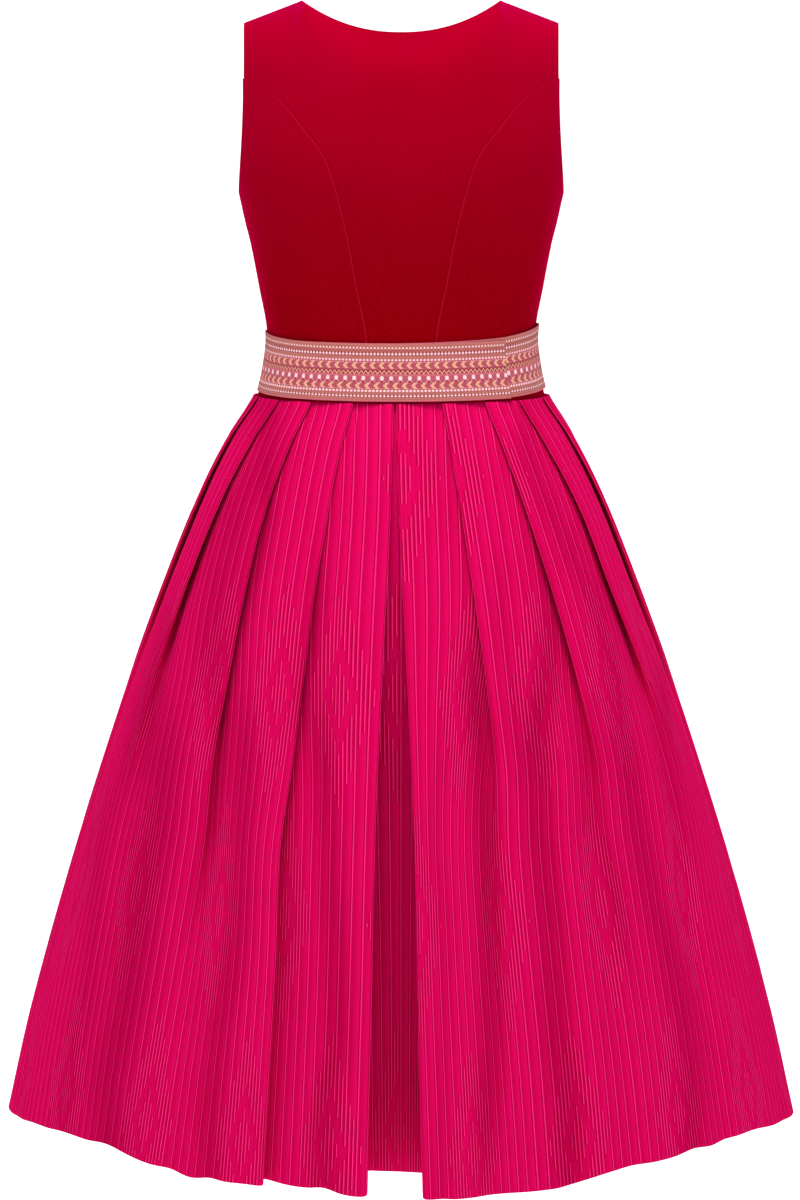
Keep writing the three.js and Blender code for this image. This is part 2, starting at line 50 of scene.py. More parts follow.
def readTable(table, column, at, key="z"):
    # a smooth curve through the table's column: cubic steps with the neighbours' slopes
    x, y = np.array(table[key], float), np.array(table[column], float)
    if x[0] > x[-1]:
        x, y = x[::-1], y[::-1]
    last = len(x) - 1
    i = np.clip(np.searchsorted(x, at) - 1, 0, last - 1)
    low, high = np.maximum(np.arange(last + 1) - 1, 0), np.minimum(np.arange(last + 1) + 1, last)
    slope = (y[high] - y[low]) / (x[high] - x[low])
    step = x[i + 1] - x[i]
    t = np.clip((at - x[i]) / step, 0, 1)
    rise = (3 - 2 * t) * t * t
    bend = step * (slope[i] * t * (1 - t) ** 2 - slope[i + 1] * t * t * (1 - t))
    return y[i] * (1 - rise) + y[i + 1] * rise + bend


def onSection(table, angle, z):
    # x = half width * sine, y = depth * a power of the cosine, angle 0 at the centre back
    across, along = np.sin(angle), np.cos(angle)
    depth = np.where(along >= 0, readTable(table, "back", z), readTable(table, "front", z))
    y = -np.sign(along) * depth * np.abs(along) ** (2 * readTable(table, "round", z))
    return np.stack([readTable(table, "half", z) * across, y, z + 0 * angle], -1)


def unit(v):
    # each vector divided by its own length
    return v / np.maximum(np.linalg.norm(v, axis=-1, keepdims=True), 1e-9)


def gridNormals(points):
    # the cross product of the steps across and up the grid
    return unit(np.cross(np.gradient(points, axis=1), np.gradient(points, axis=0)))


def softStep(value, low, high):
    # 0 up to low, 1 from high on, and three squares less two cubes of the way between them
    t = np.clip((value - low) / (high - low), 0, 1)
    return t * t * (3 - 2 * t)


def gridFaces(rows, columns, start=0, turned=False):
    # four-sided faces between neighbouring rows and columns of points
    i = start + np.arange(rows * columns).reshape(rows, columns)
    quads = np.stack([i[:-1, :-1], i[:-1, 1:], i[1:, 1:], i[1:, :-1]], -1).reshape(-1, 4)
    return quads[:, ::-1] if turned else quads


def addPiece(name, points, faces, cloth, material, nodes, shade=None):
    # points in mm above the hem; cloth is each point's place on the flat cloth in mm, kept as the UV
    # map, and shade is how much painted shade darkens its colour, in a hollow or the recess
    mesh = bpy.data.meshes.new(name)
    mesh.from_pydata((points + [0, 0, hemHeight]) / 1000, [], faces)
    corners = np.empty(len(mesh.loops), int)
    mesh.loops.foreach_get("vertex_index", corners)
    layer = mesh.uv_layers.new(name="cloth")
    layer.data.foreach_set("uv", (cloth[corners] / 1000).ravel())
    mesh.polygons.foreach_set("use_smooth", np.ones(len(mesh.polygons), bool))
    mesh.materials.append(material)
    if shade is not None:
        mesh.attributes.new("shade", "FLOAT", "POINT").data.foreach_set("value", shade)
    piece = bpy.data.objects.new(name, mesh)
    bpy.context.collection.objects.link(piece)
    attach(piece, "root")
    if nodes:
        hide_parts(*nodes)
    return piece


class Wire:
    # one number travelling through a material, so that formulas read as ordinary sums
    def __init__(self, tree, socket):
        self.tree, self.socket = tree, socket

    def calc(self, kind, *others):
        node = self.tree.nodes.new("ShaderNodeMath")
        node.operation = kind
        for socket, value in zip(node.inputs, (self, *others)):
            if isinstance(value, Wire):
                self.tree.links.new(value.socket, socket)
            else:
                socket.default_value = value
        return Wire(self.tree, node.outputs[0])

    def __add__(self, other): return self.calc("ADD", other)
    def __sub__(self, other): return self.calc("SUBTRACT", other)
    def __mul__(self, other): return self.calc("MULTIPLY", other)
    def __truediv__(self, other): return self.calc("DIVIDE", other)
    def __mod__(self, other): return self.calc("FLOORED_MODULO", other)
    def above(self, other): return self.calc("GREATER_THAN", other)
    def below(self, other): return self.calc("LESS_THAN", other)
    def size(self): return self.calc("ABSOLUTE")
    def flip(self): return self.calc("MULTIPLY_ADD", -1.0, 1.0)
    def between(self, low, high): return self.above(low) * self.below(high)

    def fade(self, low, high):
        # 1 at low and under, 0 at high and over
        node = self.tree.nodes.new("ShaderNodeMapRange")
        node.interpolation_type = "SMOOTHSTEP"
        self.tree.links.new(self.socket, node.inputs["Value"])
        node.inputs["From Min"].default_value, node.inputs["From Max"].default_value = low, high
        node.inputs["To Min"].default_value, node.inputs["To Max"].default_value = 1, 0
        return Wire(self.tree, node.outputs["Result"])


def newMaterial(name, roughness, sheen, sheenRoughness, sheenTint, specular=0.0):
    material = bpy.data.materials.new(name)
    material.use_nodes = True
    shader = material.node_tree.nodes["Principled BSDF"]
    shader.inputs["Roughness"].default_value = roughness
    shader.inputs["Sheen Weight"].default_value = sheen
    shader.inputs["Sheen Roughness"].default_value = sheenRoughness
    shader.inputs["Sheen Tint"].default_value = (*sheenTint, 1)
    shader.inputs["Specular IOR Level"].default_value = specular
    return material, material.node_tree, shader


def clothWires(tree):
    # the place on the flat cloth, across and down, in mm
    uvMap = tree.nodes.new("ShaderNodeUVMap")
    uvMap.uv_map = "cloth"
    split = tree.nodes.new("ShaderNodeSeparateXYZ")
    tree.links.new(uvMap.outputs["UV"], split.inputs[0])
    return Wire(tree, split.outputs["X"]) * 1000, Wire(tree, split.outputs["Y"]) * 1000


def noiseWire(tree, scale, detail=2.0, stretch=(1, 1, 1)):
    # noise on the object's own coordinates, in metres
    place = tree.nodes.new("ShaderNodeTexCoord")
    mapping = tree.nodes.new("ShaderNodeMapping")
    mapping.inputs["Scale"].default_value = stretch
    noise = tree.nodes.new("ShaderNodeTexNoise")
    noise.inputs["Scale"].default_value = scale
    noise.inputs["Detail"].default_value = detail
    tree.links.new(place.outputs["Object"], mapping.inputs["Vector"])
    tree.links.new(mapping.outputs["Vector"], noise.inputs["Vector"])
    return Wire(tree, noise.outputs["Fac"])


def mixColours(tree, share, first, second):
    # share 0 gives the first colour, share 1 the second
    node = tree.nodes.new("ShaderNodeMix")
    node.data_type = "RGBA"
    tree.links.new(share.socket, node.inputs["Factor"])
    for socket, value in ((node.inputs[6], first), (node.inputs[7], second)):
        if isinstance(value, tuple):
            socket.default_value = (*value, 1)
        else:
            tree.links.new(value, socket)
    return node.outputs[2]


def multiplied(tree, first, second):
    node = tree.nodes.new("ShaderNodeMix")
    node.data_type, node.blend_type = "RGBA", "MULTIPLY"
    node.inputs["Factor"].default_value = 1
    tree.links.new(first, node.inputs[6])
    tree.links.new(second, node.inputs[7])
    return node.outputs[2]


def addBump(tree, shader, height, distance):
    bump = tree.nodes.new("ShaderNodeBump")
    bump.inputs["Distance"].default_value = distance
    bump.inputs["Strength"].default_value = 1
    tree.links.new(height.socket, bump.inputs["Height"])
    tree.links.new(bump.outputs["Normal"], shader.inputs["Normal"])


# Bodice. Its section is a rounded ellipse at each height, with fullness over the bust.
torso = {
    "z": [715, 748, 780, 815, 865, 907, 927, 953, 980, 1015, 1074, 1115],
    "half": [155, 148, 140.5, 137, 145.5, 153.5, 158.5, 164.5, 171.5, 174.5, 174.5, 172.5],
    "back": [116, 109, 104, 101, 103, 108, 110.5, 113, 114.5, 114, 107, 98],
    "front": [112, 106, 102, 101, 106, 113, 115, 115, 113, 108, 98, 90],
    "round": [0.48, 0.48, 0.47, 0.47, 0.46, 0.46, 0.46, 0.46, 0.46, 0.46, 0.46, 0.46],
}
backSeam = {
    "z": [748, 821, 871, 911, 946, 975, 1000, 1026, 1051, 1063, 1074],
    "x": [30, 35, 45, 52, 60, 68, 78, 98, 119, 135, 158.5],
}
frontSeam = {
    "z": [748, 821, 871, 911, 946, 975, 1000, 1019],
    "x": [38, 47, 62, 76, 86, 98, 119, 149],
}
armhole = {
    "z": [953, 975, 1015, 1051, 1074],
    "back": [166, 164, 161, 159.5, 159.5],
    "front": [166, 161, 150.5, 147, 147],
}
bodice = {
    "waistSeam": 752.3, "underarm": 953, "thickness": 1.5,
    "bust": {"rise": 13, "x": 74, "z": 943, "wide": 44, "high": 46},
    "neckPoint": {"x": 100.5, "z": 1152.5}, "shoulderTip": {"x": 159.5, "z": 1130},
    "back": {
        "seam": backSeam, "last": 1074, "sideTop": 1074, "neckY": -82, "neckZ": 1120, "share": 0.63},
    "front": {
        "seam": frontSeam, "last": 1019, "sideTop": 1019, "neckY": 101, "neckZ": 1027, "share": 0.6},
    "neckPowers": {"backY": 0.75, "backZ": 2.2, "climb": 0.85, "frontX": 0.75, "frontY": 0.6},
    "overShoulder": 95, "pull": (0.38, 0.36), "leanOut": 0.35, "leanUp": 0.94, "edgeRound": 0.35,
    "seamDip": 0.45, "dipWide": 1.5, "seamPuff": 0.3, "puffAt": 3.6, "puffWide": 2, "seamEnd": 12,
    # the last two entries on the next line place the painted seam highlight: where it fades out, and how
    # far the centre panels' cloth is shifted to keep it off them
    "pucker": 0.12, "puckerLength": 11, "puckerWide": 6, "seamHighlight": (0.8, 1.7), "seamHighlightFree": 100,
    "edgeSteps": [0, 0.12, 0.3, 0.6, 1, 1.7, 2.8, 4.5, 7],
    "cornerSteps": [4, 2.5, 1.2, 0.5, 0, -1], "cornerFree": 4.5, "unsewn": 1200,
}


def onTorso(angle, z):
    # the section, pushed out in front by a bell round each side of the bust
    bust = bodice["bust"]
    p = onSection(torso, angle, z)
    aside = ((np.abs(p[..., 0]) - bust["x"]) / bust["wide"]) ** 2
    above = ((z - bust["z"]) / bust["high"]) ** 2
    fullness = bust["rise"] * np.exp(-aside - above) * np.abs(np.cos(angle))
    p[..., 1] += np.where(p[..., 1] > 0, fullness, 0)
    return p


def angleAt(x, z):
    # the arcsine of the distance out over the half width
    return np.arcsin(np.minimum(x / readTable(torso, "half", z), 1))


def topEdge(share, side):
    # the neckline from the centre out, then the straight shoulder seam. On the neckline x follows a sine;
    # z rises with a power of x at the back, and with one less a power of the cosine at the front
    neck, tip, powers = bodice["neckPoint"], bodice["shoulderTip"], bodice["neckPowers"]
    out = np.abs(share)
    along = np.clip((out - side["share"]) / (1 - side["share"]), 0, 1)
    turn = np.minimum(out / side["share"], 1) * np.pi / 2
    rise = neck["z"] - side["neckZ"]
    if side is bodice["back"]:
        x = neck["x"] * np.sin(turn)
        z = side["neckZ"] + rise * (x / neck["x"]) ** powers["backZ"]
        y = side["neckY"] * np.abs(np.cos(turn)) ** powers["backY"]
    else:
        climb = 1 - np.abs(np.cos(turn)) ** powers["climb"]
        x = neck["x"] * np.sin(turn) ** powers["frontX"]
        z = side["neckZ"] + rise * climb
        y = side["neckY"] * (1 - climb) ** powers["frontY"]
    onSeam = out > side["share"]
    x = np.where(onSeam, neck["x"] + (tip["x"] - neck["x"]) * along, x)
    z = np.where(onSeam, neck["z"] + (tip["z"] - neck["z"]) * along, z)
    return np.stack([np.sign(share) * x, np.where(onSeam, 0, y), z], -1)


def cornerShare(side):
    # the share of a centre panel's height below the place where it leaves its seam
    low = side["last"] - bodice["waistSeam"]
    return low / (low + bodice["overShoulder"])


def centrePanel(side, firstShare):
    # below the last level the panel follows the torso out to its seam; above it a cubic curve for
    # each column runs over to the neckline or the shoulder seam
    isBack = side is bodice["back"]
    low, last = bodice["waistSeam"], side["last"]
    below = cornerShare(side)

    def surface(u, v):
        share = firstShare + (1 - firstShare) * u
        z = np.minimum(low + (last - low) * v / below, last)
        angle = share * angleAt(readTable(side["seam"], "x", z), z)
        angle = angle if isBack else np.pi - angle
        lower = onTorso(angle, z)
        lift = unit(lower - onTorso(angle, z - 4))
        end = topEdge(share, side)
        past = softStep(np.abs(share), 0, side["share"])
        out = bodice["leanOut"] + (1 - bodice["leanOut"]) * past
        lean = np.stack([0 * past, out if isBack else -out, bodice["leanUp"] * (1 - past)], -1)
        reach = np.linalg.norm(end - lower, axis=-1)[..., None]
        second = lower + lift * reach * bodice["pull"][0]
        third = end - unit(lean) * reach * bodice["pull"][1]
        t = np.clip((v - below) / (1 - below), 0, 1)[..., None]
        upper = lower * (1 - t) ** 3 + end * t**3
        upper = upper + 3 * second * t * (1 - t) ** 2 + 3 * third * t * t * (1 - t)
        return np.where(t > 0, upper, lower)
    return surface


def sidePanel(side):
    # from the princess seam to the side seam, and above the underarm to the armhole
    isBack = side is bodice["back"]
    low, top = bodice["waistSeam"], side["sideTop"]

    def surface(u, v):
        z = low + (top - low) * v
        start = angleAt(readTable(side["seam"], "x", z), z)
        edge = angleAt(readTable(armhole, "back" if isBack else "front", z), z)
        stop = np.where(z > bodice["underarm"], edge, np.pi / 2)
        angle = start + (stop - start) * u
        return onTorso(angle if isBack else np.pi - angle, z)
    return surface


def spacedShares(lengths, count):
    # columns at fixed distances from both edges, and evenly spaced between
    steps = np.array(bodice["edgeSteps"])
    reach = np.minimum(steps[None] / lengths[:, None], 0.45 * steps[None] / steps[-1])
    middle = np.linspace(0, 1, count + 2)[1:-1]
    inner = reach[:, -1:] + (1 - 2 * reach[:, -1:]) * middle
    return np.concatenate([reach, inner, 1 - reach[:, ::-1]], 1)


def closedShell(points, half, nearest, sink, outward=1):
    # a wall whose two faces lie half a thickness out and in; it closes in a quarter round at every edge.
    # outward is -1 where the grid runs so that its own normals point into the dress
    normals = outward * gridNormals(points)
    closing = np.sqrt(1 - (1 - np.minimum(nearest / bodice["edgeRound"], 1)) ** 2)[..., None] * half
    middle = points + normals * (sink - half)[..., None]
    both = np.concatenate([
        (middle + normals * closing).reshape(-1, 3), (middle - normals * closing).reshape(-1, 3)])
    rows, columns = nearest.shape
    count = rows * columns
    onEdge = np.zeros((rows, columns), bool)
    onEdge[[0, -1]], onEdge[:, [0, -1]] = True, True
    index = np.arange(2 * count)
    index[count:][onEdge.ravel()] -= count  # the inner face shares the outer face's edge points
    outer = gridFaces(rows, columns, turned=outward < 0)
    inner = gridFaces(rows, columns, start=count, turned=outward > 0)
    faces = index[np.concatenate([outer, inner])]
    kept = np.concatenate([np.ones(count, bool), ~onEdge.ravel()])
    place = np.cumsum(kept) - 1
    return both[kept], place[faces], kept


def velvetShell(surface, columns, rows, dips, corner, outward):
    # columns and rows close up towards the edges, where the sewn cloth dips, puffs and puckers, and
    # rows towards the share of the height at which a centre panel leaves its seam for the armhole
    shares = np.linspace(0, 1, 41)
    coarse = surface(*np.meshgrid(shares, shares))
    tall = np.linalg.norm(np.diff(coarse[:, 20], axis=0), axis=-1).sum()
    v = spacedShares(np.array([tall]), rows)[0]
    if corner:
        near = corner - np.array(bodice["cornerSteps"]) / tall
        v = np.unique(np.concatenate([v[np.abs(v - corner) > bodice["cornerFree"] / tall], near]))
    wide = np.interp(v, shares, np.linalg.norm(np.diff(coarse, axis=1), axis=-1).sum(1))
    u = spacedShares(wide, columns)
    points = surface(u, v[:, None] + 0 * u)
    left, right = u * wide[:, None], (1 - u) * wide[:, None]
    up, down = (1 - v[:, None]) * tall + 0 * u, v[:, None] * tall + 0 * u
    height = np.where(v[:, None] > (corner or 1), bodice["unsewn"], points[..., 2])
    wave = np.sin(2 * np.pi * height / bodice["puckerLength"] + 2 * np.sin(height / 23))
    sink = 0 * u
    for distance, (sewn, until) in ((left, dips[0]), (right, dips[1])):
        sewnHere = sewn * (1 - softStep(height, until - bodice["seamEnd"], until + bodice["seamEnd"]))
        fromPuff = distance - bodice["puffAt"]
        sink -= bodice["seamDip"] * sewnHere * np.exp(-((distance / bodice["dipWide"]) ** 2))
        sink += bodice["seamPuff"] * sewnHere * np.exp(-((fromPuff / bodice["puffWide"]) ** 2))
        sink += bodice["pucker"] * sewnHere * wave * np.exp(-distance / bodice["puckerWide"])
    nearest = np.minimum(np.minimum(left, right), np.minimum(up, down))
    both, faces, kept = closedShell(points, bodice["thickness"] / 2, nearest, sink, outward)
    cloth = np.tile(np.stack([left, down], -1).reshape(-1, 2), (2, 1))[kept]
    return both, faces, cloth, wide.mean() * tall / 1e6


def velvetMaterial():
    # deep red pile: slow shifts of nap, fine specks of pile, and a soft sheen that catches the light.
    # Its base colour is painted paler towards the shoulders and darker low down, as painted light from
    # above; on the side panels a painted highlight follows the princess seam as a pale line.
    material, tree, shader = newMaterial("velvet", 0.8, 0.8, 0.35, (1, 0.0, 0.17))
    across = clothWires(tree)[0]
    nap = noiseWire(tree, 9, 2, (1, 1, 0.45))
    pile = noiseWire(tree, 900, 2)
    place = tree.nodes.new("ShaderNodeTexCoord")
    split = tree.nodes.new("ShaderNodeSeparateXYZ")
    tree.links.new(place.outputs["Object"], split.inputs[0])
    # painted light: lower is 1 low down and 0 at the top; it paints the base colour darker low down and
    # paler towards the shoulders, and it tints the sheen
    lower = Wire(tree, split.outputs["Z"]).fade(-0.36, 0.0)
    shifted = nap.calc("MULTIPLY_ADD", 1.6, -0.3)
    low = mixColours(tree, shifted, (0.175, 0.0, 0.0), (0.225, 0.0, 0.001))
    high = mixColours(tree, shifted, (0.33, 0.0, 0.013), (0.39, 0.0, 0.02))
    # the base colour with painted light from above: dark red low down, paler red at the shoulders
    deep = mixColours(tree, lower, high, low)
    tipped = mixColours(tree, pile.calc("MULTIPLY_ADD", 2.4, -0.9), deep, (0.33, 0.0, 0.008))
    # painted highlight: a pale line along the princess seam on the side panels, where the seam's edge
    # catches the light
    seamHighlight = across.fade(*bodice["seamHighlight"])
    seamHighlighted = mixColours(tree, seamHighlight * 0.45, tipped, (0.5, 0.006, 0.035))
    tree.links.new(seamHighlighted, shader.inputs["Base Color"])
    tree.links.new(mixColours(tree, lower, (1, 0, 0.25), (1, 0, 0.08)), shader.inputs["Sheen Tint"])
    addBump(tree, shader, pile + nap * 6, 0.0004)
    return material


velvet = velvetMaterial()
# For each panel: its surface, the share of its height where it leaves its seam for the armhole, its
# columns and rows, which of its edges are sewn (1) and up to which height, and its cut size in metres.
panels = {
    "back_centre": {
        "surface": centrePanel(bodice["back"], -1), "corner": cornerShare(bodice["back"]),
        "columns": 60, "rows": 90, "dips": ((1, 1050), (1, 1050)), "cut": (0.36, 0.43)},
    "back_side": {
        "surface": sidePanel(bodice["back"]), "corner": 0,
        "columns": 26, "rows": 70, "dips": ((1, 1050), (1, 945)), "cut": (0.17, 0.35)},
    "front_centre": {
        "surface": centrePanel(bodice["front"], 0), "corner": cornerShare(bodice["front"]),
        "columns": 30, "rows": 90, "dips": ((0, 0), (1, 1000)), "cut": (0.18, 0.42)},
    "front_side": {
        "surface": sidePanel(bodice["front"]), "corner": 0,
        "columns": 26, "rows": 60, "dips": ((1, 1000), (1, 945)), "cut": (0.14, 0.29)},
}
for panelName, panel in panels.items():
    velvetPoints, velvetFaces, velvetCloth, flatArea = velvetShell(
        panel["surface"], panel["columns"], panel["rows"], panel["dips"], panel["corner"],
        outward=-1 if panelName.startswith("front") else 1)
    for sideName, mirror in [("", 1)] if panelName == "back_centre" else [("_right", 1), ("_left", -1)]:
        node = panelName + sideName
        # the centre panels' cloth is shifted across, so the painted seam highlight stays off them
        piece = addPiece(
            node + "_velvet", velvetPoints * [mirror, 1, 1], velvetFaces[:, ::mirror],
            velvetCloth + [0 if "side" in node else bodice["seamHighlightFree"], 0],
            velvet, [node])
print("bodice made")


# Skirt. One ring of pleated cloth, cut at the two side seams. The tables give its outline, where
# the fold edges lie as shares of the half outline from centre back to centre front, and how far the
# pleats open: the centre pleat's mouth and depth, and how deep the inner folds of the others lie.
skirtShape = {
    "z": [0, 112, 276, 449, 582, 663, 714, 747.7, 776],
    "half": [412.5, 386.5, 340, 284, 235.5, 202.5, 176.5, 154, 139],
    "back": [328, 309, 275, 230, 187, 155, 131, 111.5, 104],
    "front": [321, 302, 268, 223, 181, 150, 126, 108, 100],
    "round": [0.72, 0.69, 0.65, 0.6, 0.56, 0.52, 0.5, 0.48, 0.48],
}
foldEdges = {
    1: {
        "z": [0, 120, 220, 320, 400, 480, 560, 636, 705, 747.7],
        "first": [0.112, 0.111, 0.109, 0.108, 0.113, 0.111, 0.108, 0.104, 0.101, 0.101],
        "second": [0.24, 0.242, 0.242, 0.243, 0.252, 0.247, 0.238, 0.226, 0.215, 0.212],
        "third": [0.36, 0.363, 0.369, 0.388, 0.395, 0.383, 0.364, 0.352, 0.327, 0.315],
    },
    -1: {
        "z": [0, 120, 220, 320, 400, 480, 560, 636, 705, 747.7],
        "first": [0.122, 0.124, 0.127, 0.134, 0.13, 0.128, 0.129, 0.127, 0.125, 0.119],
        "second": [0.24, 0.235, 0.232, 0.231, 0.24, 0.241, 0.246, 0.247, 0.239, 0.23],
        "third": [0.364, 0.371, 0.378, 0.387, 0.391, 0.389, 0.382, 0.367, 0.346, 0.331],
    },
}
opening = {
    "z": [0, 174, 347, 510, 633, 704, 747.7],
    "mouth": [26, 21, 17, 10, 4.5, 2.7, 2], "aside": 6.5,
    "recess": [74, 63, 44, 22, 9, 4.8, 4],
    "innerFold": [69, 58, 40, 20, 10.5, 8.8, 8.6],
    "lift": [21, 24, 22, 16, 12, 9, 7.5],
    "knee": [48, 46, 40, 30, 18, 10, 8],
    "kneed": [1, 1, 1, 0.9, 0.3, 0, 0],
    "dropRun": 30, "dropShare": 0.9, "riseRun": 50,
}
# How much is left of each fold further down, where the cloth spreads out again.
foldLeft = {
    "z": [0, 200, 347, 450, 600, 747.7],
    "first": {1: [0.1, 0.15, 0.3, 0.6, 1, 1], -1: [0.9, 0.85, 0.85, 1, 1.15, 1]},
    "second": [0.3, 0.4, 0.6, 0.75, 1.1, 1],
    "third": [0.2, 0.25, 0.35, 0.6, 1.1, 1],
    "others": [0.1, 0.12, 0.2, 0.3, 0.45, 0.8],
}
# Soft hollows in the cloth between the folds: where each runs (heights, and places to the wearer's
# right of the centre line), how wide and deep it is, how much painted shade it puts into the cloth's
# colour, and where it fades. Those of no depth are painted shade alone.
hollows = [
    {
        "z": (60, 140, 240, 330, 420), "x": (-76, -62, -66, -73, -80),
        "wide": 14, "deep": 14, "shade": 0.5, "ends": (-99, 440)},
    {
        "z": (60, 140, 240, 330, 420), "x": (-190, -180, -161, -159, -157),
        "wide": 14, "deep": 13, "shade": 0.5, "ends": (-99, 450)},
    {
        "z": (60, 140, 240, 330, 420), "x": (-296, -276, -262, -244, -238),
        "wide": 23, "deep": 15, "shade": 0.65, "ends": (-99, 430)},
    {
        "z": (60, 140, 240, 330, 420, 480), "x": (165, 153, 149, 139, 135, 146),
        "wide": 15, "deep": 15, "shade": 0.55, "ends": (-99, 500)},
    {
        "z": (60, 140, 240, 330, 420), "x": (294, 284, 256, 236, 224),
        "wide": 15, "deep": 12, "shade": 0.5, "ends": (-99, 430)},
    {
        "z": (60, 140, 240, 330, 420, 480), "x": (85, 89, 87, 85, 81, 73),
        "wide": 12, "deep": 12, "shade": 0.5, "ends": (20, 500)},
    {
        "z": (140, 240, 330, 420), "x": (236, 217, 198, 190),
        "wide": 11, "deep": 8, "shade": 0.4, "ends": (190, 440)},
    {
        "z": (240, 330, 420), "x": (300, 283, 266),
        "wide": 11, "deep": 6, "shade": 0.4, "ends": (290, 470)},
    {
        "z": (140, 240, 330, 420), "x": (-226, -209, -192, -181),
        "wide": 11, "deep": 7, "shade": 0.4, "ends": (230, 480)},
    {
        "z": (330, 420, 500), "x": (-287, -264, -240),
        "wide": 13, "deep": 6, "shade": 0.45, "ends": (330, 540)},
    {
        "z": (0, 60, 140, 240, 330), "x": (-345, -338, -320, -312, -300),
        "wide": 12, "deep": 7, "shade": 0.35, "ends": (-99, 330)},
    {
        "z": (420, 500, 560), "x": (-102, -93, -85),
        "wide": 10, "deep": 4, "shade": 0.5, "ends": (430, 600)},
    {
        "z": (500, 560, 636), "x": (-166, -153, -133),
        "wide": 8, "deep": 2, "shade": 0.5, "ends": (510, 680)},
    {
        "z": (500, 560, 636), "x": (152, 148, 130),
        "wide": 8, "deep": 2, "shade": 0.4, "ends": (520, 600)},
    {
        "z": (480, 560, 636, 700), "x": (-196, -184, -163, -133),
        "wide": 22, "deep": 0, "shade": 0.5, "ends": (470, 790)},
    {
        "z": (480, 560, 636, 700), "x": (214, 190, 152, 126),
        "wide": 13, "deep": 0, "shade": 0.4, "ends": (440, 760)},
    {
        "z": (400, 480, 560), "x": (118, 109, 100),
        "wide": 10, "deep": 3, "shade": 0.25, "ends": (390, 600)},
    {
        "z": (60, 240, 330, 420), "x": (40, 44, 33, 41),
        "wide": 8, "deep": 3, "shade": 0.2, "ends": (-99, 440)},
]
skirt = {
    "top": 751.7, "pleatCloth": 150, "underlay": 100, "frontPanel": 62.5, "pleats": 8,
    "layerPitch": 2.4, "thickness": 1, "column": 1.5625, "sideSeam": 687.5, "rows": 75,
    "halfTurnSteps": 600, "tangentStep": 3,
    "hem": {
        "turn": [
            -180, -135, -90, -83, -77, -70, -58, -53, -48, -43, -37, -33, -28, -21, -16, -8,
            8, 14, 18, 25, 29.5, 34, 39, 49, 60, 66, 72, 79, 90, 135, 180],
        "rise": [
            0, 8, 3, 3.6, 8.5, 10.5, 11, 9, 6.4, 3.2, -1, 0, 2, 1.4, 2, -2,
            -5, -4, -3, -3, -5, 2.7, 6.7, 7.6, 7.7, 9.4, 8.9, 3, -2, 8, 0],
    },
    "recessRise": 7, "fullDepth": 60, "hollowFading": 60,
    "softness": {"z": [0, 347, 510, 633, 704, 747.7], "spread": [7, 5.5, 4, 2.4, 1.4, 1]},
    "recessShade": 0.3, "recessDepth": 35,
    "cord": [0.42, 0.1, 0.08, 0.1, 0.14, 0.18, 0.22, 0.02],
    "cordPitch": 12.5, "cellHeight": 222, "cellWidth": 137.5, "firstRow": 80,
    "cellShift": {"left": -4.1667 + 68.75, "right": 37.5 + 68.75},
    "motif": {"wide": 36, "high": 112, "relief": 0.35},
    # after and before are the dark and light ends of the painted shade across each band; the groove colour
    # is painted shade just before each cord, and shade is the painted shade of the hollows and the recess
    "colours": {
        "after": (0.5, 0.0, 0.053), "before": (0.73, 0.003, 0.115), "grooveAndShade": (0.38, 0.0, 0.03),
        "cord": (1.0, 0.024, 0.21), "fleck": (0.82, 0.006, 0.14), "deep": (0.55, 0.0, 0.06),
        "shade": (0.58, 0.15, 0.48),
    },
}


def innerFold(cloth, pitch, depth):
    # it lies on the ellipse with two points of the pleat as foci, so the pleat uses up its cloth
    spare = max(cloth**2 - pitch**2, 1)
    low = min(depth, 0.48 * math.sqrt(spare))
    return cloth / 2 * math.sqrt(1 - 4 * low * low / spare) - pitch / 2, low


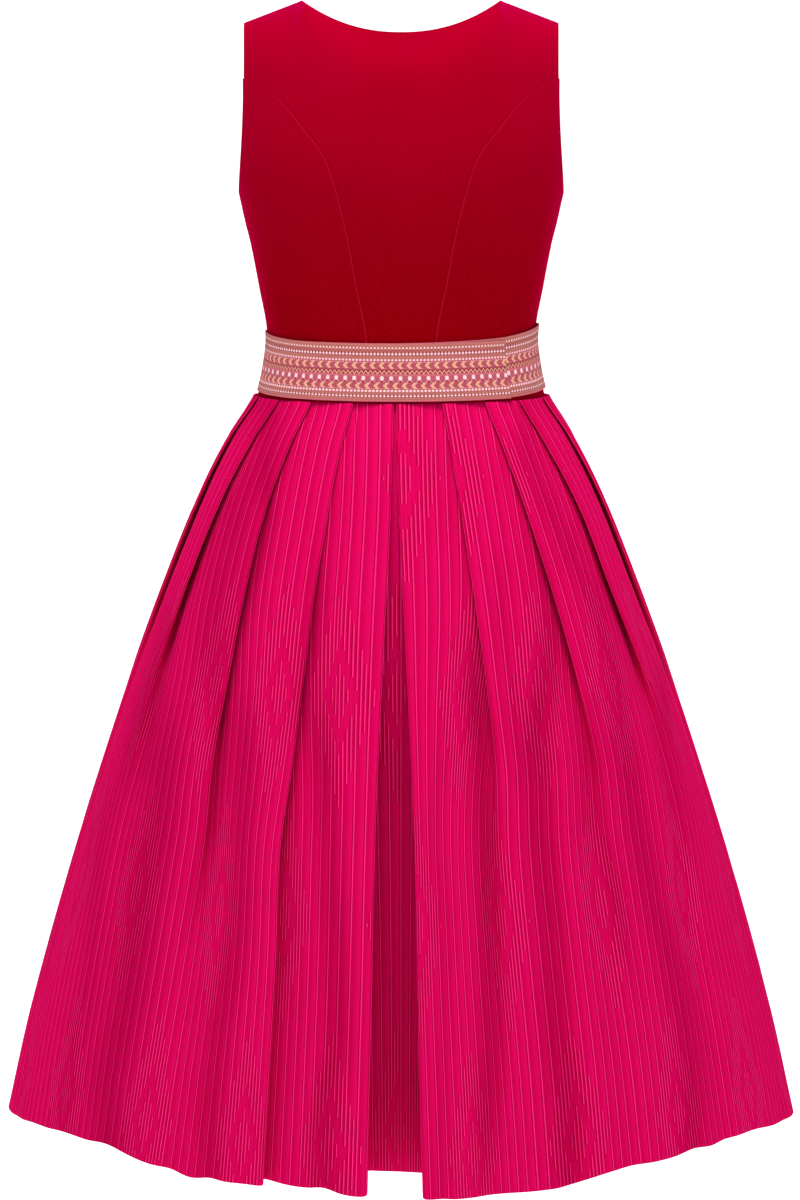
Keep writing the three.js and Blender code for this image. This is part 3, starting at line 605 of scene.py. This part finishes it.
def halfKnots(side, z, length):
    # places on the cloth, along the outline and out from it, from the centre back to the centre front;
    # each pleat runs level to its knee, dips to its inner fold and comes back up to the next edge
    def read(name, table=opening):
        return float(readTable(table, name, z))

    def kept(k):
        name = ["first", "second", "third", "others"][min(k, 4) - 1]
        column = foldLeft[name][side] if name == "first" else foldLeft[name]
        return float(readTable({"z": foldLeft["z"], name: column}, name, z))
    edges = [read("mouth") - side * opening["aside"]]
    edges += [read(name, foldEdges[side]) * length for name in ("first", "second", "third")]
    step = (length - skirt["frontPanel"] - edges[3]) / (skirt["pleats"] - 3)
    edges += [edges[3] + step * k for k in range(1, skirt["pleats"] - 2)]
    drop, recess, knee, kneed = read("innerFold"), read("recess"), read("knee"), read("kneed")
    # what the slopes of the centre opening use up of its underlay
    fallCloth = (math.hypot(drop, opening["dropRun"]) - opening["dropRun"]) * opening["dropShare"]
    riseCloth = math.hypot(drop - recess, opening["riseRun"]) - opening["riseRun"]
    total = skirt["underlay"] - fallCloth - riseCloth
    corners = [(0, -recess), ((total + edges[0]) / 2, -drop), (edges[0], 0)]
    cloth, folded = [0, skirt["underlay"] / 2, skirt["underlay"]], [False, True, True]
    for k in range(1, len(edges)):
        pitch, left = edges[k] - edges[k - 1], kept(k)
        past, low = innerFold(skirt["pleatCloth"], pitch, read("lift"))
        straight = np.array([edges[k] + past, -low])
        kneeCloth = skirt["pleatCloth"] - (pitch - knee)
        past, low = innerFold(kneeCloth, knee, read("lift"))
        bent = np.array([edges[k] + past * left - knee / 2 * (1 - left), -low * left])
        inner = straight + (bent - straight) * kneed
        start = np.array([edges[k - 1], 0])
        turn = start + (inner - start) * (pitch - knee) / (inner[0] - edges[k - 1])
        turn += (np.array([edges[k] - knee, -0.06 * low * left]) - turn) * kneed
        corners += [tuple(turn), tuple(inner), (edges[k], 0)]
        runs = [math.dist(start, turn), math.dist(turn, inner), math.dist(inner, (edges[k], 0))]
        cloth += list(cloth[-1] + skirt["pleatCloth"] * np.cumsum(runs) / sum(runs))
        folded += [False, True, True]
    corners.append((length, 0))
    cloth.append(cloth[-1] + skirt["frontPanel"])
    folded.append(False)
    corners, cloth, folded = np.array(corners, float), np.array(cloth, float), np.array(folded)
    before, after = unit(corners[:-2] - corners[1:-1]), unit(corners[2:] - corners[1:-1])
    sharp = folded[1:-1, None] * np.clip((np.sum(before * after, -1, keepdims=True) + 0.6) / 0.8, 0, 1)
    apart = unit(after - before) * sharp * skirt["layerPitch"] / 2
    pairs = np.stack([corners[1:-1] - apart, corners[1:-1] + apart], 1).reshape(-1, 2)
    pairCloth = (cloth[1:-1, None] + [-skirt["layerPitch"] / 2, skirt["layerPitch"] / 2]).ravel()
    return (np.concatenate([cloth[:1], pairCloth, cloth[-1:]]),
            np.concatenate([corners[:1], pairs, corners[-1:]]))


def skirtRow(z, around):
    # one level of the ring: the folded line is laid along the outline, then softened by taking the
    # quick waves out of it; the third column is the depth below the outline
    half = skirt["halfTurnSteps"]
    angles = np.linspace(-1.5, 1.5, 3 * half + 1) * np.pi
    outline = onSection(skirtShape, angles, np.full(angles.shape, z))[:, :2]
    reach = np.concatenate([[0], np.cumsum(np.linalg.norm(np.diff(outline, axis=0), axis=1))])
    reach -= reach[3 * half // 2]
    length = reach[5 * half // 2]
    rightCloth, right = halfKnots(1, z, length)
    leftCloth, left = halfKnots(-1, z, length)
    cloth = np.concatenate([-leftCloth[:0:-1], rightCloth])
    line = np.concatenate([(left * [-1, 1])[:0:-1], right])
    along, out = np.interp(around, cloth, line[:, 0]), np.interp(around, cloth, line[:, 1])
    steps = (-skirt["tangentStep"], 0, skirt["tangentStep"])
    place = [np.stack([np.interp(along + d, reach, outline[:, i]) for i in (0, 1)], -1) for d in steps]
    tangent = unit(place[2] - place[0])
    points = place[1] + np.stack([tangent[:, 1], -tangent[:, 0]], -1) * out[:, None]
    spread = float(readTable(skirt["softness"], "spread", z))
    waves = np.fft.rfftfreq(len(around), skirt["column"])
    soft = np.exp(-2 * (np.pi * waves * spread) ** 2)[:, None]
    points = np.concatenate([points, -out[:, None]], 1)
    return np.fft.irfft(np.fft.rfft(points, axis=0) * soft, len(around), axis=0)


def motifMask(across, down):
    # 1 where the ordinary cords stop: inside the stepped diamonds, in rows that are set half a cell over
    row = np.floor((down - skirt["firstRow"]) / skirt["cellHeight"] + 0.5)
    side = np.where(across > 0, skirt["cellShift"]["right"], skirt["cellShift"]["left"])
    shift = (row % 2) * skirt["cellWidth"] / 2 + side
    x = (across - shift + skirt["cellWidth"] / 2) % skirt["cellWidth"] - skirt["cellWidth"] / 2
    y = down - skirt["firstRow"] - row * skirt["cellHeight"]
    return np.abs(x) / skirt["motif"]["wide"] + np.abs(y) / skirt["motif"]["high"] < 1


def skirtLevels():
    # rows set closer at the waist, with one more just above the hem's edge
    t = np.linspace(0, 1, skirt["rows"] - 1)
    levels = skirt["top"] * (1 - t**1.3)
    return np.concatenate([levels[:-1], [1.5, 0]])[::-1]


halfCloth = skirt["underlay"] + skirt["pleats"] * skirt["pleatCloth"] + skirt["frontPanel"]
ringCount = round(2 * halfCloth / skirt["column"])
around = (np.arange(ringCount) - ringCount // 2) * skirt["column"]
levels = skirtLevels()
rowsAndDepths = np.stack([skirtRow(z, around) for z in levels])
ring, depth = rowsAndDepths[..., :2], rowsAndDepths[..., 2]
bearing = np.arctan2(ring[..., 0], ring[..., 1])
share = ((skirt["top"] - levels) / skirt["top"])[:, None]
turned = np.sign(bearing) * (180 - np.degrees(np.abs(bearing)))
hemRise = readTable(skirt["hem"], "rise", turned, "turn")
hemRise += skirt["recessRise"] * np.clip(depth / skirt["fullDepth"], 0, 1)
heights = levels[:, None] + share * hemRise
meanRadius = np.linalg.norm(ring, axis=-1).mean(1)
slant = np.concatenate([[0], np.cumsum(np.hypot(np.diff(levels), np.diff(meanRadius)))])
down = slant[-1] - slant
middle = np.concatenate([ring, heights[..., None]], -1)
onBack = middle[..., 1] < 0
# painted shade: the deeper the cloth lies in the centre recess, the darker its colour is painted, and each
# hollow below adds its own painted shade
shade = skirt["recessShade"] * np.clip(depth / skirt["recessDepth"], 0, 1)
fading = skirt["hollowFading"]
for hollow in hollows:
    path = np.interp(levels, hollow["z"], hollow["x"])[:, None]
    low, high = hollow["ends"]
    lasting = softStep(levels, low - fading, low + fading)
    lasting = (lasting * (1 - softStep(levels, high - fading, high + fading)))[:, None]
    for facing, sign in ((onBack, 1), (~onBack, -1)):  # the front has the same ones, mirrored
        fall = np.exp(-(((middle[..., 0] - sign * path) / hollow["wide"]) ** 2)) * facing * lasting
        middle[..., 1] += sign * hollow["deep"] * fall
        shade = shade + hollow["shade"] * fall
shade = np.clip(shade, 0, 1)
sideways = np.roll(middle, -1, 1) - np.roll(middle, 1, 1)
normals = unit(np.stack([sideways[..., 1], -sideways[..., 0], 0 * bearing], -1))


def skirtPiece(name, node, columns, start):
    # a shell of the outer face, every second column of the inner face, and four rims
    across = start + np.arange(len(columns)) * skirt["column"]
    cords = np.array(skirt["cord"])[np.arange(len(columns)) % 8]
    relief = cords * np.where(motifMask(across[None], down[:, None]), skirt["motif"]["relief"], 1)
    outer = (middle + normals * (skirt["thickness"] / 2))[:, columns]
    outer = outer + normals[:, columns] * relief[..., None]
    inner = (middle - normals * (skirt["thickness"] / 2))[:, columns[::2]]
    rows, wide = outer.shape[:2]
    narrow = inner.shape[1]
    o = np.arange(rows * wide).reshape(rows, wide)
    i = rows * wide + np.arange(rows * narrow).reshape(rows, narrow)
    quads = [gridFaces(rows, wide), gridFaces(rows, narrow, start=rows * wide, turned=True)]
    triangles = []
    for edge, turned in ((0, False), (-1, True)):
        a, b, c = o[edge, 0:-2:2], o[edge, 1:-1:2], o[edge, 2::2]
        d, e = i[edge, :-1], i[edge, 1:]
        quad, triangle = np.stack([b, d, e, c], -1), np.stack([a, d, b], -1)
        quads.append(quad[:, ::-1] if turned else quad)
        triangles.append(triangle[:, ::-1] if turned else triangle)
    for edge, turned in ((0, False), (-1, True)):
        quad = np.stack([o[:-1, edge], o[1:, edge], i[1:, edge], i[:-1, edge]], -1)
        quads.append(quad[:, ::-1] if turned else quad)
    points = np.concatenate([outer.reshape(-1, 3), inner.reshape(-1, 3)])
    cloth = np.concatenate([
        np.stack(np.meshgrid(across, down), -1).reshape(-1, 2),
        np.stack(np.meshgrid(across[::2], down), -1).reshape(-1, 2)])
    faces = np.concatenate(quads).tolist() + np.concatenate(triangles).tolist()
    shades = np.concatenate([shade[:, columns].ravel(), shade[:, columns[::2]].ravel()])
    piece = addPiece(name, points, faces, cloth, corded, [node], shades)
    flat = len(gridFaces(rows, wide)) + len(gridFaces(rows, narrow))
    smooth = np.arange(len(faces)) < flat
    piece.data.polygons.foreach_set("use_smooth", smooth)
    return piece


def cordedMaterial():
    # raised cords every 12.5 mm on a fine rib; in each stepped diamond three times as many, with a
    # plain ring inside them. Across each band the colour runs from darker after a cord to lighter and
    # pinker before the next, painted shade and painted sheen of the rib's tilt on top of the relief the
    # mesh gives it; just before a cord a narrow groove is darkened with painted shade, and the cord itself
    # is pale.
    material, tree, shader = newMaterial("corded_jacquard", 0.62, 0.08, 0.4, (1, 0.0, 0.25))
    u, v = clothWires(tree)
    fine = skirt["cordPitch"] / 3
    column = (u / fine + 0.5).calc("FLOOR")
    row = ((v - skirt["firstRow"]) / skirt["cellHeight"] + 0.5).calc("FLOOR")
    sides = skirt["cellShift"]
    halfCell = skirt["cellWidth"] / 2
    shift = (row % 2) * halfCell + u.above(0) * (sides["right"] - sides["left"]) + sides["left"]
    x = ((column * fine - shift + halfCell) % skirt["cellWidth"] - halfCell).size()
    y = (v - skirt["firstRow"] - row * skirt["cellHeight"]).size()
    far = x / skirt["motif"]["wide"] + y / skirt["motif"]["high"]
    inside = far.below(1)
    ringGap = far.between(0.29, 0.52)
    third = ((column + 1) % 3).between(0.5, 1.5)
    plain = inside * ringGap
    shown = inside * (ringGap.flip()) + inside.flip() * third
    offset = u - column * fine
    line = offset.size().fade(0.35, 0.95) * shown
    # painted shade in the narrow groove just before each cord; the same mask also dents the bump
    grooveAndShade = (offset + 1.25).size().fade(0.3, 0.9) * shown
    wide = (u / skirt["cordPitch"]) % 1
    close = (u / fine) % 1
    # painted shade across each band: 0 just after a cord, 1 just before the next, weaker in the diamonds
    slope = wide * inside.flip() + close * inside * 0.4 + plain * 0.25
    weave = noiseWire(tree, 1300, 2)
    blotch = noiseWire(tree, 14, 2)
    colours = skirt["colours"]
    groundWithTiltShade = mixColours(tree, slope, colours["after"], colours["before"])
    specks = weave.calc("MULTIPLY_ADD", 3, -1.3) * (slope * 0.6 + 0.25)
    speckled = mixColours(tree, specks, groundWithTiltShade, colours["fleck"])
    worn = mixColours(tree, blotch.calc("MULTIPLY_ADD", 1.2, -0.4) * 0.5, speckled, colours["deep"])
    # the groove's painted shade darkens the colour just before each cord
    grooveShaded = mixColours(tree, grooveAndShade * 0.8, worn, colours["grooveAndShade"])
    corded = mixColours(tree, line * (weave * 0.7 + 0.6), grooveShaded, colours["cord"])
    # painted shade: the shade attribute darkens the base colour in the hollows and the centre recess
    shaded = tree.nodes.new("ShaderNodeAttribute")
    shaded.attribute_name = "shade"
    tint = mixColours(tree, Wire(tree, shaded.outputs["Fac"]), (1, 1, 1), colours["shade"])
    tree.links.new(multiplied(tree, corded, tint), shader.inputs["Base Color"])
    addBump(tree, shader, line * 0.6 - grooveAndShade * 0.6 + weave * 0.3, 0.0005)
    return material


corded = cordedMaterial()
seamAt = np.searchsorted(around, [-skirt["sideSeam"], skirt["sideSeam"]])
backColumns = np.arange(seamAt[0], seamAt[1] + 1)
frontColumns = np.arange(seamAt[1], seamAt[0] + ringCount + 1) % ringCount
for node, columns, start in (
        ("skirt_back", backColumns, -skirt["sideSeam"]), ("skirt_front", frontColumns, skirt["sideSeam"])):
    piece = skirtPiece(node + "_cloth", node, columns, start)
print("skirt made")


# Belt. One woven ribbon, once round the waist and over its own end at the back. The table gives how
# its middle rises and dips on the way round, from the centre back, and how far it stands off.
belt = {
    "width": 58.5, "thickness": 1.2, "level": 780, "under": -89, "over": 104, "columns": 460, "rows": 14,
    "path": {
        "turn": [-45, 0, 45, 65, 90, 135, 180, 225, 270, 295, 315, 360, 405],
        "middle": [783, 782.8, 785, 788.5, 793, 791, 788, 788, 788, 785, 783.3, 782.5, 783.5],
        "out": [1, 1, 1, 1.6, 2.4, 1.6, 1, 1, 1, 1.6, 2.6, 3, 3],
        "wide": [57.5, 57.5, 60, 62, 64, 60, 58, 58, 60, 58.5, 57.5, 57.5, 58],
    },
    "foldedEnd": 9, "foldedRise": 0.5, "stitch": {"in": 2, "deep": 0.35, "wide": 0.7},
    "tints": {
        "pink": (0.68, 0.15, 0.2), "rose": (0.56, 0.1, 0.16), "tan": (0.68, 0.27, 0.21),
        "umber": (0.45, 0.11, 0.1), "crimson": (0.33, 0.022, 0.055), "straw": (0.85, 0.45, 0.28),
        "white": (1.0, 0.72, 0.74), "blush": (0.86, 0.38, 0.4),
    },
    "rowsDown": {
        "bands": [
            (-1, 0.8, "pink"), (3.6, 5.4, "umber"), (9, 12.2, "crimson"), (15.6, 17.8, "rose"),
            (17.8, 26.9, "rose"), (26.9, 31, "crimson"), (31, 32.8, "pink"), (32.8, 37.4, "rose"),
            (37.4, 46.4, "rose"), (46.4, 49.2, "rose"), (51.7, 54.4, "crimson"), (57, 60, "pink"),
        ],
        "stippled": [(18.7, 27.5, "crimson"), (37.4, 46.2, "crimson"), (29.5, 31, "pink")],
        "zigzags": [
            (2.6, 1.8, 3.65, 0.7, "umber"), (7.4, 2.6, 3.65, 1.2, "crimson"),
            (13.6, 2.2, 3.65, 1.1, "umber"), (28.9, 3.4, 4.65, 1.5, "straw"),
            (50, 1.8, 3.65, 1, "umber"), (56, 1.6, 3.65, 0.8, "umber"),
        ],
        "spots": [
            (4.5, 3.65, 2.5, 1.9, 1.5, "white"), (10.6, 3.65, 2.9, 2.9, 1.2, "white"),
            (53, 3.65, 2.8, 2.4, 1.2, "white"), (16.7, 3.65, 2.5, 1.9, 2, "white"),
            (35.1, 9.3, 3.7, 4.3, 4, "white"), (47.8, 3.65, 2.7, 2.3, 2, "white"),
            (26.3, 4.65, 2, 1.4, 2, "crimson"), (38.2, 4.65, 1.6, 1, 2, "blush"),
            (38.2, 9.3, 2.4, 1.6, 2, "crimson"), (19, 2.32, 1.2, 1, 2, "blush"),
            (25, 2.32, 1.2, 1, 2, "pink"), (45.6, 2.32, 1.2, 1, 2, "blush"),
        ],
        "arrows": [(22.1, 0), (42.6, 4.6)],
    },
}


def beltSurface(u, v):
    # v runs up; the points lie on the ribbon's outer face
    first, last = (
        np.sign(x) * np.degrees(angleAt(abs(x), belt["level"])) for x in (belt["under"], belt["over"]))
    turn = first + (360 + last - first) * u
    z = readTable(belt["path"], "middle", turn, "turn")
    z = z + readTable(belt["path"], "wide", turn, "turn") * (v - 0.5)
    angle = np.radians(turn)
    near = onSection(torso, angle + 0.02, z) - onSection(torso, angle - 0.02, z)
    normal = unit(np.stack([near[..., 1], -near[..., 0], 0 * z], -1))
    out = readTable(belt["path"], "out", turn, "turn") + belt["thickness"]
    return onSection(torso, angle, z) + normal * out[..., None]


def ribbonMaterial():
    # bands, zigzags, dots, arrowheads and squares, in rows along the ribbon; v is mm down from its top
    material, tree, shader = newMaterial("woven_ribbon", 0.6, 0.15, 0.4, (1, 0.8, 0.75))
    u, v = clothWires(tree)
    rows, tints = belt["rowsDown"], belt["tints"]

    def paint(colour, mask, tint):
        return mixColours(tree, mask, colour, tints[tint])

    def zigzag(middle, swing, period, wide):
        # the line climbs and falls by its swing in each period
        path = ((u % period - period / 2).size() * (4 / period) - 1) * (swing / 2)
        return (v - path - middle).size().fade(wide * 0.3, wide * 0.7)

    def spots(middle, period, wide, high, roundness):
        # rounded squares: the higher the power, the squarer
        across = ((u % period - period / 2).size() / (wide / 2)).calc("POWER", roundness)
        return (across + ((v - middle).size() / (high / 2)).calc("POWER", roundness)).fade(0.6, 1.4)

    def arrows(middle, shift):
        # chevrons that point one way: the further from the row's middle, the further along
        away = (v - middle).size()
        slot = (u - away * 0.95 + shift) % 9.3
        return slot.between(1.0, 4.6) * away.below(3.3)

    checks = ((u + v) % 1.8).below(0.8).calc("MAXIMUM", ((u - v) % 1.8).below(0.8))
    colour = mixColours(tree, checks * 0.8, tints["umber"], tints["tan"])
    for low, high, tint in rows["bands"]:
        colour = paint(colour, v.between(low, high), tint)
    for low, high, tint in rows["stippled"]:
        colour = paint(colour, v.between(low, high) * checks.flip() * 0.75, tint)
    for middle, swing, period, wide, tint in rows["zigzags"]:
        colour = paint(colour, zigzag(middle, swing, period, wide), tint)
    for middle, period, wide, high, roundness, tint in rows["spots"]:
        colour = paint(colour, spots(middle, period, wide, high, roundness), tint)
    for middle, shift in rows["arrows"]:
        colour = paint(colour, arrows(middle, shift), "straw")
    threads = ((u * (2 * math.pi / 0.7)).calc("SINE") + 1) * 0.5
    weft = ((v * (2 * math.pi / 0.55)).calc("SINE") + 1) * 0.5
    worn = paint(colour, threads * weft * 0.25, "umber")
    tree.links.new(worn, shader.inputs["Base Color"])
    addBump(tree, shader, threads * 0.5 + weft * 0.5, 0.0003)
    return material


shares = np.linspace(0, 1, 400)
beltSteps = np.linalg.norm(np.diff(beltSurface(shares, 0 * shares + 0.5), axis=0), axis=-1)
beltReach = np.concatenate([[0], np.cumsum(beltSteps)])
beltLength = beltReach[-1]
beltU = spacedShares(np.array([beltLength]), belt["columns"])
beltV = spacedShares(np.array([belt["width"]]), belt["rows"])[0][:, None]
beltU, beltV = beltU + 0 * beltV, beltV + 0 * beltU
along, across = np.interp(beltU, shares, beltReach), (1 - beltV) * belt["width"]
toEnd = np.minimum(along, beltLength - along)
nearest = np.minimum(toEnd, np.minimum(across, belt["width"] - across))
fromFold = beltLength - along - belt["foldedEnd"]
endRise = belt["foldedRise"] * (1 - softStep(fromFold, -1, 0.5))
stitch = belt["stitch"]
stitchDip = -stitch["deep"] * np.exp(-(((fromFold + stitch["in"]) / stitch["wide"]) ** 2))
beltPoints, beltFaces, beltKept = closedShell(
    beltSurface(beltU, beltV), belt["thickness"] / 2, nearest, endRise + stitchDip)
beltCloth = np.tile(np.stack([along, across], -1).reshape(-1, 2), (2, 1))[beltKept]
ribbon = addPiece("belt_ribbon", beltPoints, beltFaces, beltCloth, ribbonMaterial(), ["belt"])
print("belt made,", round(beltLength), "mm long")


def tapeMaterial():
    # dark red cotton tape with a fine weave
    material, tree, shader = newMaterial("cotton_tape", 0.75, 0.1, 0.5, (1, 0.6, 0.6))
    weave = noiseWire(tree, 1500, 2)
    colour = mixColours(tree, weave, (0.14, 0.004, 0.014), (0.24, 0.008, 0.024))
    tree.links.new(colour, shader.inputs["Base Color"])
    addBump(tree, shader, weave, 0.0002)
    return material


tape = tapeMaterial()
for node in ("hook_tape", "eye_tape"):
    bpy.data.objects[node].material_slots[0].material = tape


# Studio: a white sweep well below the hem, soft lights and the photo's camera.
studio = {
    "floor": -1.55, "near": -12, "back": 12, "wide": 30, "bend": 3, "top": 8,
    "world": 0.35, "glow": 0.75, "aim": (0, 0, -0.5),
    "camera": {"at": (-0.0012, -4.1, -0.0665), "tilt": 82.593, "lens": 120, "sensor": 36},
    "lights": [
        {"name": "left", "at": (-2.6, -2.9, 1.2), "size": 1.3, "power": 76},
        {"name": "right", "at": (2.6, -2.9, 1.2), "size": 1.3, "power": 90},
        {"name": "front", "at": (0.3, -3.9, 1.2), "size": 1.2, "power": 84},
        {"name": "top", "at": (0, -0.9, 2.7), "size": 1.2, "power": 130},
    ],
}


def sweep():
    # the floor turns up into the backdrop through a quarter circle
    bend, back, floor = studio["bend"], studio["back"], studio["floor"]
    turn = np.linspace(0, np.pi / 2, 17)
    y = np.concatenate([[studio["near"]], back - bend + bend * np.sin(turn), [back]])
    z = np.concatenate([[floor], floor + bend - bend * np.cos(turn), [studio["top"]]])
    x = np.array([-studio["wide"] / 2, studio["wide"] / 2])
    points = np.stack(np.broadcast_arrays(x[None], y[:, None], z[:, None]), -1).reshape(-1, 3)
    mesh = bpy.data.meshes.new("sweep")
    mesh.from_pydata(points, [], gridFaces(len(y), 2))
    mesh.polygons.foreach_set("use_smooth", np.ones(len(mesh.polygons), bool))
    material, tree, shader = newMaterial("white_paper", 0.9, 0, 0.5, (1, 1, 1))
    grain = noiseWire(tree, 60, 2)
    paperColour = mixColours(tree, grain, (0.93, 0.93, 0.93), (0.97, 0.97, 0.97))
    tree.links.new(paperColour, shader.inputs["Base Color"])
    shader.inputs["Emission Color"].default_value = (1, 1, 1, 1)
    shader.inputs["Emission Strength"].default_value = studio["glow"]
    mesh.materials.append(material)
    paper = bpy.data.objects.new("sweep", mesh)
    bpy.context.collection.objects.link(paper)


def addLight(name, at, size, power):
    # a square soft light turned towards the dress
    data = bpy.data.lights.new(name, "AREA")
    data.shape, data.size, data.energy = "SQUARE", size, power
    light = bpy.data.objects.new(name, data)
    light.location = at
    towards = np.array(studio["aim"]) - at
    tilt = math.pi - math.acos(towards[2] / np.linalg.norm(towards))
    light.rotation_euler = (tilt, 0, math.atan2(towards[0], -towards[1]))
    bpy.context.collection.objects.link(light)


sweep()
for light in studio["lights"]:
    addLight(**light)
world = bpy.data.worlds.new("studio")
world.use_nodes = True
world.node_tree.nodes["Background"].inputs["Color"].default_value = (1, 1, 1, 1)
world.node_tree.nodes["Background"].inputs["Strength"].default_value = studio["world"]
bpy.context.scene.world = world
bpy.context.scene.view_settings.view_transform = "Standard"
lens = bpy.data.cameras.new("camera")
lens.lens, lens.sensor_width = studio["camera"]["lens"], studio["camera"]["sensor"]
camera = bpy.data.objects.new("camera", lens)
camera.location = studio["camera"]["at"]
camera.rotation_euler = (math.radians(studio["camera"]["tilt"]), 0, 0)
bpy.context.collection.objects.link(camera)
bpy.context.scene.camera = camera
print("studio made")
